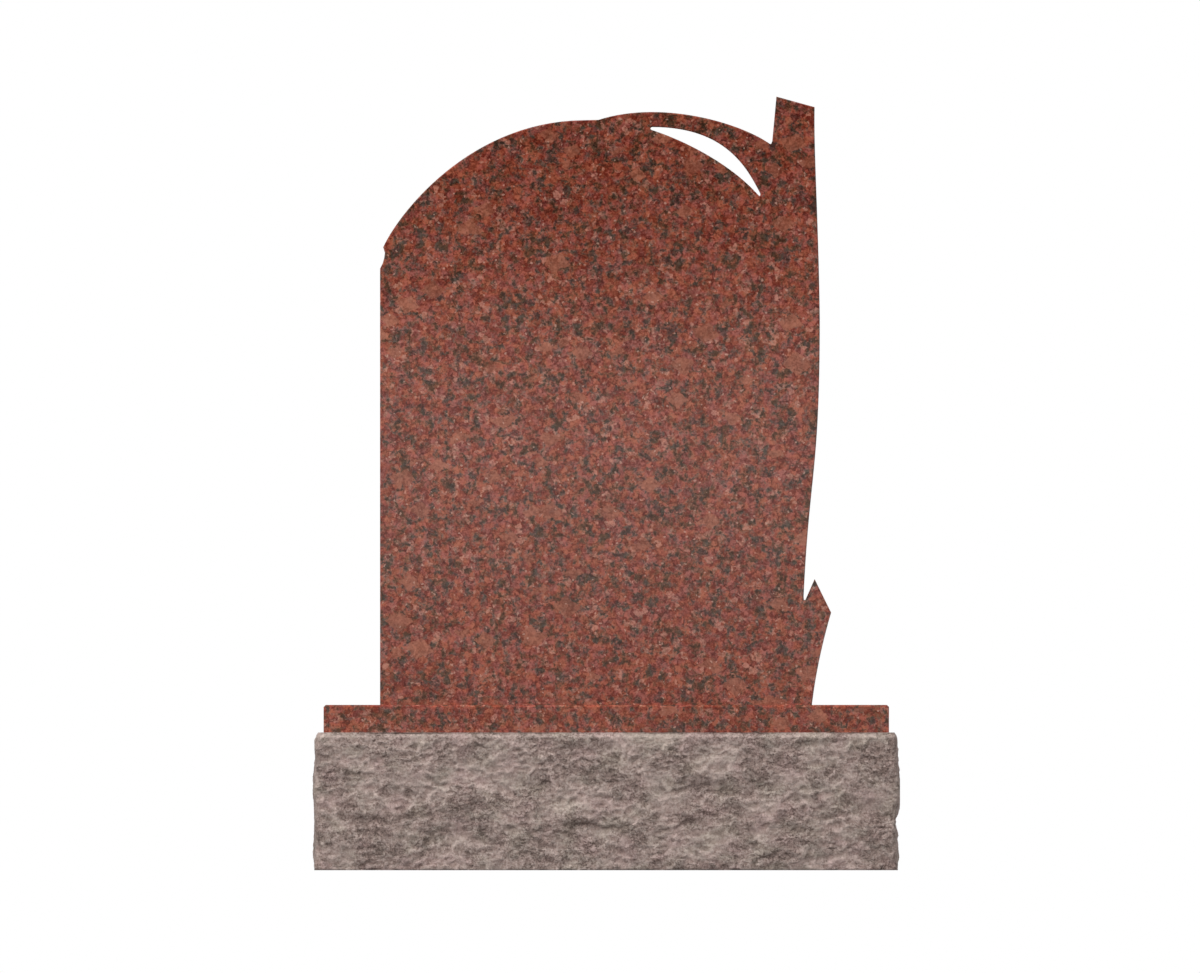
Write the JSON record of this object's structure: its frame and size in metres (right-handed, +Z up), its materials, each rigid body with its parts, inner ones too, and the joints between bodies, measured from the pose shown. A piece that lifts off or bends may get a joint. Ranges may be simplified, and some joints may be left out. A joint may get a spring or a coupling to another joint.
{
  "type": "granite headstone",
  "caption": "Upright polished granite slab with an arched top, a crescent window and a trunk-like side, on a thin polished plinth slab and a rock-faced granite base.",
  "frame": {"origin": "on the ground, under the middle of the base's underside", "axes": "+Z up, +X to the right as seen from the front, and the polished front faces -Y"},
  "size_m": [0.853, 0.252, 1.1233],
  "materials": {
    "polished_granite": "polished",
    "rock_faced_granite": "matte"
  },
  "bodies": {
    "root": {"stele_slab": "polished_granite", "plinth_slab": "polished_granite", "rock_faced_base": "rock_faced_granite"}
  },
  "joints": []
}
